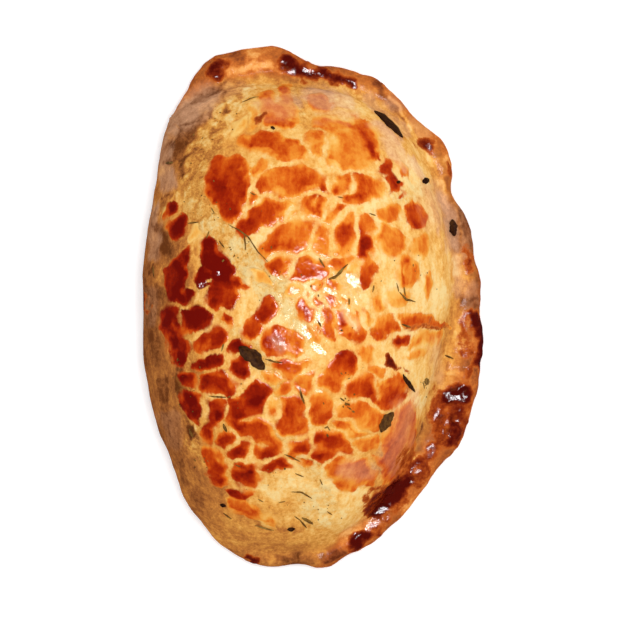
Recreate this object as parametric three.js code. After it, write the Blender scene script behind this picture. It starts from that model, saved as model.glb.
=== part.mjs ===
// Cheese pogaca: a disc of soft dough folded over its filling into a fat half-moon, pinched shut
// along the open side and baked. It is one solid loaf. Millimetres, +Z up, +Y along the loaf, the
// folded side facing -X and the pinched rim running round the +X side.
// The loaf is a loft: every ring runs once round the plan outline, and the stations of a cross
// section, from the crown down to the flat base, say how far in and how high each ring lies.
import * as THREE from "three";

// Driving sizes.
const CROWN_HEIGHT = 40; // top of the loaf above the tray, before its swells
const CREASE_HEIGHT = 6.9; // bottom of the groove between the dome and the rim
const RIM_TOP = 7.3; // the rim is a double layer of dough, pressed thin
const FOLD_BULGE_HEIGHT = 12; // where the folded side is widest
const FOLD_TUCK = 7.5; // how far the folded side tucks in under itself
const RIM_TUCK = 3.6; // the same under the rim
const DOME_POWER = 2.2; // 2 is an ellipse, more is a flatter top with steeper sides
const FOLD_STEEPNESS = 0.52; // a half meets the foot upright, 1 meets it at a slope
const RIM_STEEPNESS = 0.74;
const RIM_BEGINS = [222, 264]; // degrees: no rim yet, and all of it
const RIM_ENDS = [152, 108];

// Mesh fineness.
const SEGMENTS = 112; // round the outline
const RINGS = 30; // from the crown to the edge of the base
const OUTLINE_SAMPLES = 1440;

// Plan outline without its scallops: [degrees round from +X, radius].
const OUTLINE = [
  [0, 38.9], [20, 39.6], [36, 42.1], [50, 47.0], [65, 51.4], [80, 55.3], [95, 59.2],
  [108, 61.9], [118, 59.3], [130, 52.7], [145, 44.2], [160, 40.7], [180, 38.9], [200, 40.7],
  [215, 43.8], [228, 48.1], [240, 55.0], [251, 59.2], [264, 60.0], [278, 57.9], [290, 53.5],
  [305, 48.6], [320, 45.2], [335, 42.0], [348, 39.9],
];

// Where fingers pinched the rim: [degrees, reach, half width in degrees]. A pinch that reaches out
// makes a lobe, a negative one a notch.
const PINCHES = [
  [8, 0.5, 5], [17, -0.7, 4], [29, 0.5, 4], [39, -1.9, 4], [50, 1.1, 5], [59.5, -0.9, 3.2],
  [75, 1.1, 2.8], [89, -2.1, 4.2], [98, 1.2, 3], [112, 0.7, 3.5], [248, 0.4, 4], [259, 1.0, 3.5],
  [266, -0.8, 3], [273.5, 1.5, 3.2], [306, -0.9, 3.5], [317, 0.7, 4], [357, -0.6, 4],
];

// The groove where the dome meets the rim. On the folded side it lies just inside the outline.
const CREASE = [
  [0, 32.5], [12, 33.8], [28, 36.4], [40, 38.7], [52, 43.0], [65, 47.8], [78, 50.4], [92, 52.2],
  [104, 54.4], [114, 55.2], [122, 54.4], [130, 51.7], [145, 43.8], [160, 40.3], [180, 38.5],
  [200, 40.3], [215, 43.4], [228, 47.6], [240, 53.8], [251, 57.3], [264, 57.2], [276, 54.4],
  [288, 48.6], [301, 42.6], [314, 37.4], [330, 33.2], [345, 32.0],
];

// Thumb dents along the top of the rim: [degrees, depth, half width in degrees].
const THUMB_DENTS = [
  [12, 0.9, 5], [39, 1.1, 4], [62, 0.8, 4], [87, 1.6, 5], [119, 0.9, 3.5], [285, 1.2, 4],
  [297, 1.3, 4], [312, 1.2, 5], [328, 1.5, 5], [344, 1.0, 5],
];

// Swells and hollows that the oven left in the dome: [x, y, radius, lift].
const SWELLS = [
  [-9, 31, 15, 1.3], [12, 24, 13, 0.9], [-17, 13, 8, -1.3], [-26, -3, 9, 0.8], [4, -9, 12, 0.7],
  [-20, -26, 12, 0.9], [19, -31, 8, 1.5], [-2, -47, 10, -1.0], [26, 3, 9, -0.8], [11, -22, 9, 0.5],
];

// Shares of the way from the crown to the dome's foot.
const DOME_STATIONS = [0.1, 0.25, 0.4, 0.54, 0.67, 0.78, 0.87, 0.94];

// Below the dome the folded side rolls over and tucks under: [inset from the outline, height].
const FOLD_SIDE = [
  [0.65, FOLD_BULGE_HEIGHT + 4.6], [0, FOLD_BULGE_HEIGHT], [0.5, FOLD_BULGE_HEIGHT - 4],
  [1.7, 5], [3.7, 2.1], [5.7, 0.55], [FOLD_TUCK, 0],
];

// The same where there is a rim: [inset in rim widths, further inset, height, share of a dent].
const RIM_SIDE = [
  [1, 0, CREASE_HEIGHT, 0.4], [0.58, 0, RIM_TOP, 1], [0.18, 0, RIM_TOP - 1.1, 0.6],
  [0, 0, RIM_TOP / 2, 0], [0, 0.7, 1.5, 0], [0, 2, 0.25, 0], [0, RIM_TUCK, 0, 0],
];

const radians = THREE.MathUtils.degToRad;

// Smallest turn between two angles in degrees, from -180 to 180.
function turn(a, b) {
  return ((((a - b) % 360) + 540) % 360) - 180;
}

function bump(distance, halfWidth) {
  return Math.exp(-((distance / halfWidth) ** 2));
}

// A smooth closed curve through [degrees, value] pairs, read at any angle.
function roundTable(pairs) {
  const count = pairs.length;
  return (degrees) => {
    let i = count - 1;
    while (i > 0 && pairs[i][0] > degrees) i -= 1;
    const [a0, a1, a2, a3] = [-1, 0, 1, 2].map((k) => pairs[(i + k + count) % count]);
    const span = (a2[0] - a1[0] + 360) % 360;
    const t = ((degrees - a1[0] + 360) % 360) / span;
    const slope = (p, q) => ((q[1] - p[1]) / ((q[0] - p[0] + 360) % 360)) * span;
    const [m1, m2] = [slope(a0, a2), slope(a1, a3)];
    const [t2, t3] = [t * t, t * t * t];
    return (
      (2 * t3 - 3 * t2 + 1) * a1[1] + (t3 - 2 * t2 + t) * m1 +
      (3 * t2 - 2 * t3) * a2[1] + (t3 - t2) * m2
    );
  };
}

const plainRadius = roundTable(OUTLINE);
const creaseRadius = roundTable(CREASE);

function outlineRadius(degrees) {
  const pinched = PINCHES.map(([at, reach, half]) => reach * bump(turn(degrees, at), half));
  return plainRadius(degrees) + pinched.reduce((a, b) => a + b, 0);
}

function dentDepth(degrees) {
  const dents = THUMB_DENTS.map(([at, depth, half]) => depth * bump(turn(degrees, at), half));
  return dents.reduce((a, b) => a + b, 0);
}

// 1 where there is a full rim, 0 on the folded side, and a smooth change between them.
function rimShare(degrees) {
  const ramp = ([none, all]) => {
    const along = turn(degrees, none) / turn(all, none);
    return THREE.MathUtils.smoothstep(along, 0, 1);
  };
  return degrees > RIM_BEGINS[0] ? ramp(RIM_BEGINS) : ramp(RIM_ENDS);
}

// How much the dome has swollen or sunk at a place, fading out towards its foot.
function swell(x, y, domeShare) {
  const lifts = SWELLS.map(([cx, cy, r, lift]) => lift * bump(Math.hypot(x - cx, y - cy), r));
  return lifts.reduce((a, b) => a + b, 0) * (1 - domeShare ** 4);
}

// Height of the dome at a share of the way from its crown to its foot.
function domeHeight(share, foot, steepness) {
  return foot + (CROWN_HEIGHT - foot) * (1 - share ** DOME_POWER) ** steepness;
}

// Angles of evenly spaced points round the outline.
function evenAngles() {
  const at = (i) => {
    const degrees = (i * 360) / OUTLINE_SAMPLES;
    const r = outlineRadius(degrees);
    return new THREE.Vector2(r * Math.cos(radians(degrees)), r * Math.sin(radians(degrees)));
  };
  const run = [0];
  for (let i = 1; i <= OUTLINE_SAMPLES; i += 1) {
    run.push(run[i - 1] + at(i).distanceTo(at(i - 1)));
  }
  const angles = [];
  let i = 0;
  for (let k = 0; k < SEGMENTS; k += 1) {
    const wanted = (run[OUTLINE_SAMPLES] * k) / SEGMENTS;
    while (run[i + 1] < wanted) i += 1;
    angles.push(((i + (wanted - run[i]) / (run[i + 1] - run[i])) * 360) / OUTLINE_SAMPLES);
  }
  return angles;
}

// The cross section at one angle, as a smooth curve of (distance from the axis, height) from just
// below the crown to the edge of the base.
function section(degrees) {
  const edge = outlineRadius(degrees);
  const crease = creaseRadius(degrees);
  const dent = dentDepth(degrees);
  const share = rimShare(degrees);
  const mix = (fold, rim) => THREE.MathUtils.lerp(fold, rim, share);
  const foot = mix(FOLD_BULGE_HEIGHT, CREASE_HEIGHT);
  const steepness = mix(FOLD_STEEPNESS, RIM_STEEPNESS);
  const dome = DOME_STATIONS.map((s) => [s * crease, domeHeight(s, foot, steepness)]);
  const side = FOLD_SIDE.map(([foldInset, foldHeight], i) => {
    const [widths, further, rimHeight, dented] = RIM_SIDE[i];
    const rimInset = widths * (edge - crease) + further;
    return [edge - mix(foldInset, rimInset), mix(foldHeight, rimHeight - dented * dent)];
  });
  const stations = [...dome, ...side].map(([r, z]) => new THREE.Vector3(r, 0, z));
  return new THREE.CatmullRomCurve3(stations);
}

// All rings joined into one closed skin, with the crown and the middle of the base as its poles.
function loafGeometry() {
  const crown = new THREE.Vector3(0, 0, CROWN_HEIGHT + swell(0, 0, 0));
  const points = [crown];
  const sections = evenAngles().map((degrees) => ({ degrees, curve: section(degrees) }));
  for (let ring = 0; ring < RINGS; ring += 1) {
    for (const { degrees, curve } of sections) {
      const p = curve.getPoint(ring / (RINGS - 1));
      const [x, y] = [p.x * Math.cos(radians(degrees)), p.x * Math.sin(radians(degrees))];
      const inDome = THREE.MathUtils.clamp(p.x / creaseRadius(degrees), 0, 1);
      const onTop = THREE.MathUtils.smoothstep(p.z, FOLD_BULGE_HEIGHT, CROWN_HEIGHT / 2);
      const last = ring === RINGS - 1;
      points.push(new THREE.Vector3(x, y, last ? 0 : p.z + swell(x, y, inDome) * onTop));
    }
  }
  points.push(new THREE.Vector3(0, 0, 0));
  const faces = [];
  const at = (ring, k) => 1 + ring * SEGMENTS + (k % SEGMENTS);
  const base = points.length - 1;
  for (let k = 0; k < SEGMENTS; k += 1) {
    faces.push(0, at(0, k), at(0, k + 1));
    for (let ring = 0; ring < RINGS - 1; ring += 1) {
      const [a, b, c, d] = [at(ring, k), at(ring + 1, k), at(ring + 1, k + 1), at(ring, k + 1)];
      faces.push(a, b, c, a, c, d);
    }
    faces.push(base, at(RINGS - 1, k + 1), at(RINGS - 1, k));
  }
  const geometry = new THREE.BufferGeometry().setFromPoints(points).setIndex(faces);
  geometry.computeBoundingBox();
  const middle = geometry.boundingBox.getCenter(new THREE.Vector3());
  geometry.translate(-middle.x, -middle.y, 0);
  geometry.computeVertexNormals();
  return geometry;
}

const crust = new THREE.MeshStandardMaterial({ color: 0xd07a2e, roughness: 0.38, metalness: 0 });

const loaf = new THREE.Mesh(loafGeometry(), crust);
loaf.name = "loaf";

const pogaca = new THREE.Group();
pogaca.add(loaf);

export default pogaca;
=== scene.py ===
# A cheese pogaca as it comes from the oven: a folded roll whose egg glaze browned and tore into
# plates while the dough under it still rose, with dill and herb flakes baked onto it.
import math

import bpy
import numpy as np
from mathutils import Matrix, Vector


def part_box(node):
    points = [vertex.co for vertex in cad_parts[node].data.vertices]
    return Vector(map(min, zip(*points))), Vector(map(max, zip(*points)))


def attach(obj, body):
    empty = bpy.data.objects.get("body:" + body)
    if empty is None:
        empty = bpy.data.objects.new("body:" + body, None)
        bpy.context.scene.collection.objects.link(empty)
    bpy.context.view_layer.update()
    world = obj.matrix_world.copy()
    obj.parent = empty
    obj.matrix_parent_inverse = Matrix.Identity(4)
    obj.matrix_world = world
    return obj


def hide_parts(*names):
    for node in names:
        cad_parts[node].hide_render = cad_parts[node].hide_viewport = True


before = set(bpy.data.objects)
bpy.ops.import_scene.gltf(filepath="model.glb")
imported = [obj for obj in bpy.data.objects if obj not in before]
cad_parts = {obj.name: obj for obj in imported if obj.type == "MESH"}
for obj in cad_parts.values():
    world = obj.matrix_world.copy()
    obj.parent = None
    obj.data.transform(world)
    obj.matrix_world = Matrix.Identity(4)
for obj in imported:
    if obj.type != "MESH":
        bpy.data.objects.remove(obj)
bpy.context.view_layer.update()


# ---- The loaf's body ----
# Soft yeast dough folded over white cheese, pinched shut along one side and baked on a tray. The
# packed loaf gives its true shape. Here it gets a skin fine enough for every tear in its glaze.
MM = 0.001
SKIN_GRAIN = 0.45 * MM
SIDE_THINNING = 0.3  # the base and the upright sides need fewer faces than the top
FACES_UP = 0.1  # a facing's height from which a spot counts as top
WELD = 0.01 * MM  # corners closer than this are one
loaf_low, loaf_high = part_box("loaf")
loaf_middle = np.array([(loaf_low.x + loaf_high.x) / 2, (loaf_low.y + loaf_high.y) / 2, loaf_low.z])


def take_up(piece):
    """Makes a piece the only one that operators act on."""
    bpy.ops.object.select_all(action="DESELECT")
    piece.select_set(True)
    bpy.context.view_layer.objects.active = piece


def finish_with(piece, kind, **settings):
    """Adds a modifier to a piece and applies it."""
    modifier = piece.modifiers.new(kind, kind)
    for name, value in settings.items():
        setattr(modifier, name, value)
    take_up(piece)
    bpy.ops.object.modifier_apply(modifier=modifier.name)


def facings(piece):
    """Which way the skin faces at each of a piece's vertices."""
    found = np.empty(len(piece.data.vertices) * 3)
    piece.data.vertex_normals.foreach_get("vector", found)
    return found.reshape(-1, 3)


loaf = bpy.data.objects.new("pogaca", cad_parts["loaf"].data.copy())
bpy.context.collection.objects.link(loaf)
take_up(loaf)
bpy.ops.object.mode_set(mode="EDIT")
bpy.ops.mesh.select_all(action="SELECT")
bpy.ops.mesh.customdata_custom_splitnormals_clear()
bpy.ops.mesh.remove_doubles(threshold=WELD)
bpy.ops.mesh.tris_convert_to_quads()
bpy.ops.object.mode_set(mode="OBJECT")
finish_with(loaf, "SUBSURF", levels=2, render_levels=2)
finish_with(loaf, "REMESH", mode="VOXEL", voxel_size=SKIN_GRAIN)
finish_with(loaf, "SMOOTH", factor=0.5, iterations=4)
take_up(loaf)
bpy.ops.object.mode_set(mode="EDIT")
bpy.ops.mesh.select_mode(type="VERT")
bpy.ops.mesh.select_all(action="DESELECT")
bpy.ops.object.mode_set(mode="OBJECT")
loaf.data.vertices.foreach_set("select", facings(loaf)[:, 2] < FACES_UP)
bpy.ops.object.mode_set(mode="EDIT")
bpy.ops.mesh.decimate(ratio=SIDE_THINNING)
bpy.ops.object.mode_set(mode="OBJECT")


# ---- The glaze and its tears ----
# Egg yolk brushed on before baking. It set and browned first, then the rising dough tore it into
# plates. A plate is one lobe or several that stayed together.
# Every list of marks gives places as they look from an eye above the loaf, level with the rim.
EYE = np.array((0.6, -2.0, 1200.0))
RIM_LEVEL = 6.0
# A lobe: x, y, half length, half width (mm), turn in degrees, brownness.
PLATES = [
    # The shoulder under the far end.
    [(-7.8, 44.9, 4.1, 3.2, 0, 0.44), (-6.2, 48.6, 2.0, 1.6, 0, 0.5), (-10.6, 47.6, 1.4, 1.2, 0, 0.56)],
    [(1.9, 46.8, 1.6, 1.3, -35, 0.54)],
    [(-14.6, 37.8, 2.4, 1.5, -15, 0.62), (-9.4, 37.3, 5.6, 2.1, -12, 0.54),
     (-4.4, 36.2, 3.0, 1.1, -22, 0.32)],
    [(0.6, 38.8, 1.2, 1.2, -40, 0.42), (1, 36.8, 1.0, 1.2, 0, 0.54)],
    [(-13.2, 31.9, 2.2, 0.7, 58, 0.5)],
    # The big plates on the crown.
    [(-21.4, 29.2, 4.4, 1.7, 82, 0.78), (-17.4, 29, 4.8, 2.3, 95, 0.66),
     (-19.4, 31.8, 2.0, 1.7, 0, 0.72), (-18.9, 22.6, 2.2, 1.5, 100, 0.77)],
    [(-5.4, 28.6, 6.9, 2.8, -4, 0.53), (2.4, 27.4, 1.6, 0.7, 100, 0.68)],
    [(-11.2, 22.3, 3.8, 2.0, 42, 0.58), (-7.4, 22.8, 2.7, 1.1, -8, 0.54),
     (-15, 18.8, 1.5, 1.2, 20, 0.74)],
    [(9.4, 37.2, 4.8, 4.6, -25, 0.4), (4.9, 42.1, 4.0, 1.1, -6, 0.4), (12.6, 37.2, 4.0, 0.8, -57, 0.74),
     (15.2, 34.2, 1.4, 0.5, -62, 0.78), (7.4, 33.1, 2.6, 1.4, 0, 0.4), (9, 41.6, 1.0, 0.7, -40, 0.58),
     (6, 38, 1.0, 2.6, 0, 0.3)],
    [(17.6, 29.8, 4.4, 1.2, -66, 0.7), (18.7, 27, 1.5, 1.1, -60, 0.76)],
    [(11.8, 27.7, 3.2, 1.9, -16, 0.62), (15.4, 27.2, 1.0, 1.6, 0, 0.3), (9.6, 25.1, 2.1, 0.7, 10, 0.6)],
    [(7.6, 28.2, 1.6, 1.5, 0, 0.54)],
    [(0.7, 23.6, 2.8, 2.5, 0, 0.6)],
    [(5.2, 21.6, 2.2, 1.5, 30, 0.58)],
    [(17.6, 21.7, 2.1, 1.6, 0, 0.5)],
    [(23.7, 21.4, 2.3, 1.2, -78, 0.68)],
    [(20.2, 31.4, 0.8, 0.6, 0, 0.5)],
    # Round the middle.
    [(-4.4, 15.9, 5.6, 2.9, 22, 0.53), (-9, 13.6, 2.1, 1.6, 30, 0.68)],
    [(2.1, 15.5, 2.0, 2.5, 0, 0.52)],
    [(6.6, 15.8, 3.2, 1.8, 80, 0.62), (8.6, 19.6, 1.4, 0.8, 40, 0.54)],
    [(12.4, 10.8, 5.8, 1.3, 88, 0.71), (12.8, 18.7, 2.6, 1.1, -50, 0.55)],
    [(17.3, 15.2, 3.6, 2.1, -45, 0.44)],
    [(22.1, 8, 2.6, 1.3, 80, 0.4), (20.7, 7.4, 2.4, 0.3, 85, 0.66), (22, 10.2, 1.0, 0.6, 0, 0.66)],
    [(24.8, 14, 2.2, 1.1, 70, 0.38)],
    [(26.6, 5, 1.8, 0.2, 80, 0.4)],
    [(6, 10.5, 2.7, 0.8, 8, 0.6)],
    [(-1.2, 8.4, 3.5, 2.5, 10, 0.64)],
    [(0.2, 5.1, 1.2, 0.9, 30, 0.56)],
    [(-7.2, 9.8, 2.2, 1.9, -15, 0.57)],
    [(-1.5, -0.8, 2.6, 1.0, -70, 0.62)],
    [(3.1, -3.4, 3.2, 0.9, -74, 0.5)],
    [(8.5, -3.9, 3.2, 1.7, -52, 0.57)],
    [(15.5, 0.7, 1.2, 0.4, -60, 0.44)],
    [(19, 2, 1.9, 0.8, 0, 0.36)],
    [(17.7, -4.2, 2.7, 1.3, -20, 0.58), (15, -5.8, 1.4, 0.7, -70, 0.54)],
    [(20.4, -7.2, 1.9, 1.2, 0, 0.68)],
    [(22, -3.8, 2.4, 1.1, -10, 0.58), (26.8, -3.9, 4.4, 0.5, -8, 0.56)],
    [(25.2, -7.8, 4.0, 1.0, 25, 0.3)],
    [(8.2, -12.6, 2.4, 1.7, 0, 0.68), (6.6, -14, 2.5, 1.7, 40, 0.58), (8.9, -14.8, 1.9, 1.6, 90, 0.68),
     (4.8, -16.9, 2.7, 1.1, 5, 0.65)],
    [(15, -14.8, 1.9, 0.6, -30, 0.5)],
    [(18, -20.4, 3.5, 2.2, -5, 0.7), (18, -17.4, 2.8, 1.1, -15, 0.62),
     (11.3, -17.4, 4.1, 2.0, 12, 0.72)],
    [(-2, -16.8, 2.4, 1.5, 80, 0.57)],
    [(-5, -13.7, 3.8, 2.1, -5, 0.68)],
    [(-8, -8.4, 2.7, 2.5, 20, 0.66), (-4.6, -9, 2.4, 1.5, -75, 0.56)],
    # The dark side over the fold.
    [(-23.2, 12.2, 3.2, 1.0, 108, 0.98), (-21.5, 8.4, 3.4, 2.0, 115, 0.95),
     (-24.9, 6.6, 1.7, 1.2, 30, 0.98), (-21, 2.8, 3.4, 2.6, 88, 0.82),
     (-17.2, 5.2, 0.9, 0.1, -5, 0.92)],
    [(-31.3, 5.8, 4.3, 1.7, 84, 0.98), (-29.6, 11, 2.0, 0.25, 72, 0.9), (-29.3, 3, 1.4, 0.9, 10, 1.0)],
    [(-30.6, 18.5, 2.1, 0.9, 65, 0.87)],
    [(-32.4, 22.3, 1.0, 0.3, 80, 0.86)],
    [(-27.2, -2.6, 2.7, 2.1, 0, 0.96), (-32.2, -2.6, 2.1, 1.9, 90, 1.0), (-31.8, -7, 2.2, 1.4, 90, 1.0),
     (-29.9, -5.4, 1.2, 0.7, 20, 0.95), (-31.2, -10.6, 2.3, 1.4, -60, 1.0),
     (-29.8, -9.4, 1.2, 0.9, 0, 0.95)],
    [(-22.9, -7.8, 3.0, 1.3, 52, 0.82), (-25.4, -9.4, 2.1, 0.9, 62, 0.84)],
    [(-24.5, -12.3, 2.8, 1.9, 15, 0.94)],
    [(-20.3, -2.5, 1.7, 0.4, -68, 0.7)],
    [(-10.7, -0.8, 1.7, 1.1, 58, 0.78), (-13.9, -4.4, 2.6, 0.8, 62, 0.68)],
    [(-16.8, -14, 2.3, 1.6, 90, 0.84)],
    [(-17.2, -9.8, 1.5, 0.7, 0, 0.88)],
    [(-21.6, -17.8, 4.3, 2.3, -18, 0.92)],
    [(-28, -16.8, 1.6, 0.9, -35, 0.86)],
    [(-15.6, -22.6, 4.1, 2.6, 25, 0.81), (-12.8, -20.4, 2.9, 1.9, 50, 0.84),
     (-17.4, -26.8, 2.7, 1.4, -55, 0.8), (-13, -28.6, 3.3, 1.7, -10, 0.7),
     (-9.6, -31.4, 1.9, 1.3, -50, 0.76), (-11.6, -33.2, 2.7, 1.0, 5, 0.85)],
    [(-27, -22.6, 3.1, 1.8, -68, 0.96)],
    [(-23, -23.2, 2.8, 2.2, 75, 0.9), (-23.7, -28.2, 2.4, 1.0, 88, 0.82)],
    [(-20.5, -30.3, 1.8, 1.0, -8, 0.76)],
    [(-16.4, -32.9, 2.0, 1.1, -10, 0.78)],
    [(-22.4, -35.6, 2.9, 1.2, -60, 0.62), (-22, -39.4, 1.5, 0.8, -45, 0.7)],
    # Down to the near end, where it thins out and the dough is bare.
    [(-14.9, -38.5, 2.5, 2.1, -40, 0.82)],
    [(-10.8, -36.9, 2.1, 0.7, 16, 0.8), (-7, -36.2, 1.6, 0.4, -20, 0.76)],
    [(-16.5, -42.9, 2.3, 0.6, -8, 0.88), (-17, -45.6, 2.2, 0.6, -25, 0.5),
     (-13.4, -47.2, 2.2, 0.4, -34, 0.4), (-10.4, -49.2, 1.4, 0.1, -34, 0.3)],
    [(-4.9, -24, 3.3, 1.7, -65, 0.66), (-4.5, -27.4, 2.7, 1.9, 0, 0.64)],
    [(-2.8, -32.3, 1.8, 1.5, 0, 0.7)],
    [(-1.8, -35, 1.4, 0.3, -30, 0.64)],
    [(1.8, -24, 3.0, 1.9, 85, 0.6)],
    [(5, -32, 3.1, 1.7, -25, 0.66), (2.6, -30.6, 1.8, 1.3, 0, 0.66), (2, -34, 2.7, 0.9, 0, 0.68)],
    [(12.1, -25.6, 3.1, 2.3, -25, 0.57), (7.6, -24.4, 1.7, 0.9, 0, 0.48)],
    [(9, -28, 4.2, 0.8, -18, 0.5)],
    [(13, -31.3, 2.0, 1.2, 0, 0.46)],
    [(7, -37, 3.2, 2.0, -15, 0.54), (11.4, -38, 3.4, 2.2, -10, 0.6), (7.4, -40.6, 1.6, 0.7, -25, 0.6)],
    [(21.4, -25.6, 4.4, 1.9, 78, 0.52), (19.8, -30.6, 4.2, 2.6, 70, 0.48),
     (17.8, -36.4, 3.4, 2.8, 30, 0.62)],
    # Thin golden leftovers between them.
    [(-13.6, 43.4, 2.6, 0.8, 62, 0.3)],
    [(-17.2, 41.4, 2.0, 0.5, 56, 0.16)],
    [(5.4, 4.6, 1.8, 0.3, -48, 0.44)],
    [(7, 1.6, 2.4, 0.3, -54, 0.24)],
    [(-3.4, 3.4, 1.8, 0.5, 10, 0.34)],
    [(-0.6, 2.6, 1.4, 0.3, -80, 0.44)],
    [(12.4, -2.6, 1.5, 0.3, -72, 0.5)],
    [(-0.2, -6, 1.6, 0.3, -60, 0.44)],
    [(0.6, -3.6, 1.6, 0.3, -70, 0.5)],
    [(9.6, 8.6, 1.4, 0.3, 50, 0.4)],
    [(-12, 6.8, 1.6, 0.4, -40, 0.2)],
    [(-27.6, 17.2, 1.5, 0.3, 66, 0.12)],
    [(-4.8, 21.2, 0.9, 0.5, 0, 0.5)],
    [(11.9, -11.6, 1.2, 0.9, 90, 0.4)],
    [(-9.4, -16.6, 1.7, 1.2, 0, 0.46)],
    [(-8.8, -22.6, 1.2, 0.7, 90, 0.42)],
    [(-6.6, -18.6, 1.2, 0.5, 20, 0.5)],
    [(23.4, -10.4, 1.8, 0.6, 10, 0.5)],
    [(1.4, 1.2, 1.1, 0.8, 0, 0.6)],
    [(4.2, 1.4, 1.4, 0.5, -40, 0.46)],
    [(-13.4, 25.6, 1.3, 0.8, 40, 0.52)],
]
# Tears that cut into a plate: half width, then the points they run through.
TEARS = [
    (1.0, [(3.8, 19.2), (9, 22.2), (15, 24.2), (21, 26.2)]), (2.0, [(20.8, 26.8), (27, 27.6)]),
    (0.65, [(5, 39.4), (3.2, 36.6), (2.4, 34), (2.8, 30.5), (4.4, 26.6)]),
    (0.4, [(4.4, 26.6), (2, 20)]), (0.5, [(2.2, 31.8), (6, 30.8), (10, 31.2), (16.6, 30)]),
    (1.5, [(-4, 52), (-2.6, 47), (-1, 41.8)]), (0.5, [(-9.2, 50.6), (-8.2, 47.4)]),
    (0.3, [(14, 15.4), (16.4, 11.6)]), (0.3, [(13.6, 12.4), (14.8, 9.6)]),
    (0.5, [(-16.8, -26.6), (-14.5, -26), (-12, -25.4), (-10, -25.2)]),
    (0.15, [(0.4, 23.2), (1.4, 25.6)]), (0.4, [(-15, -31.4), (-12.5, -32), (-10.8, -31.8)]),
    (0.3, [(-25, 5.4), (-23.8, 6.4)]), (0.12, [(-29.8, 0.4), (-30, -5.2)]),
    (0.2, [(1.4, -1.4), (2.4, -6)]), (0.15, [(7.4, -1), (10, -6)]), (0.3, [(6.4, -17.6), (9.4, -15.4)]),
    (0.18, [(14.4, -15.6), (15.2, -21.4)]), (0.8, [(-30, 24), (-26, 21)]),
    (0.6, [(22.6, -19), (24.8, -23), (25.2, -28), (24.4, -33), (22.4, -38)]),
    (0.7, [(14, -34.4), (16, -33.6)]),
]
LOBE_SQUARENESS = 2.6  # 2 would make the lobes ellipses
LOBE_BLENDING = 4  # how sharply the brownness changes from one lobe to the next
SEAM = 0.38  # half the width of the seams between plates, mm
GROWTH = 1.3  # how far a plate reaches past its lobes where it has no close neighbour, mm
RAGGEDNESS = 0.35  # how much a tear's width varies, as a share of it
TAPER = 5  # a tear narrows over one part in this many of its length at both ends
BRUSH_SLANT = 0.8  # how sharply the glaze ends where the brush stopped
FOLD_SIDE = (24, 32)  # from how far left, and from where wholly, the skin is the folded side, mm
FAR = 99.0  # farther than any plate is, mm
DEEPEST = 6  # the glaze's depth from its edge is cut off here, mm
# How far out over the folded side the brush reached: y, then x there.
BRUSH_LINE = [
    (26, -34.6), (12, -34.4), (-6, -34.8), (-14, -32), (-24, -29.6), (-34, -26), (-42, -22.6), (-50, -21),
]
WAVES = 22  # how many waves make up a field of ripples


def ripples(spots, size, seed):
    """A smooth random field over the spots with swells of about that size, mostly from -1 to 1."""
    chance = np.random.default_rng(seed)
    total = np.zeros(len(spots))
    for _ in range(WAVES):
        heading = chance.normal(size=3)
        heading *= 2 * math.pi / (size * 2 * chance.uniform(0.7, 1.6) * np.linalg.norm(heading))
        total += np.sin(spots @ heading + chance.uniform(0, 2 * math.pi))
    return total / math.sqrt(WAVES)


def ease(value, start, end):
    """0 up to start, 1 from end, and a smooth rise between them."""
    share = np.clip((value - start) / (end - start), 0, 1)
    return share * share * (3 - 2 * share)


def places(piece):
    """Where a piece's vertices are, in millimetres from the middle of the loaf's underside."""
    found = np.empty(len(piece.data.vertices) * 3)
    piece.data.vertices.foreach_get("co", found)
    return (found.reshape(-1, 3) - loaf_middle) / MM


def as_seen(spots):
    """Where spots on the loaf look to be from above, in mm level with the rim."""
    outward = (EYE[2] - RIM_LEVEL) / (EYE[2] - spots[:, 2])
    return EYE[:2] + (spots[:, :2] - EYE[:2]) * outward[:, None]


def into_lobe(plan, lobe):
    """How far out each spot lies, as a share of the lobe's edge, and the edge's distance there."""
    x, y, half_length, half_width, turn = lobe[:5]
    c, s = math.cos(math.radians(turn)), math.sin(math.radians(turn))
    along = (plan[:, 0] - x) * c + (plan[:, 1] - y) * s
    across = (plan[:, 1] - y) * c - (plan[:, 0] - x) * s
    power = LOBE_SQUARENESS
    share = np.abs(along / half_length) ** power + np.abs(across / half_width) ** power
    share = np.maximum(share ** (1 / power), 0.02)
    return share, np.hypot(along, across) / share


def from_line(plan, points):
    """Distance from a line through points, and how far along it the nearest place is, 0 to 1."""
    nearest, along = np.full(len(plan), np.inf), np.zeros(len(plan))
    for i, (a, b) in enumerate(zip(points, points[1:])):
        a, b = np.array(a, float), np.array(b, float)
        share = np.clip((plan - a) @ (b - a) / np.dot(b - a, b - a), 0, 1)
        gap = np.linalg.norm(plan - a - share[:, None] * (b - a), axis=1)
        closer = gap < nearest
        nearest[closer] = gap[closer]
        along[closer] = ((i + share) / (len(points) - 1))[closer]
    return nearest, along


def wavering(plan, wide, narrow, first_seed):
    """The plan with wavy lines. Wide and narrow are how far a wave goes and its size, in mm."""
    plan = plan.copy()
    for axis in (0, 1):
        seed = first_seed + axis
        waves = wide[0] * ripples(spots, wide[1], seed)
        plan[:, axis] += waves + narrow[0] * ripples(spots, narrow[1], seed + 10)
    return plan


spots, facing = places(loaf), facings(loaf)
plan = wavering(as_seen(spots), (0.35, 4.5), (0.25, 1.7), 1)

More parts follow.
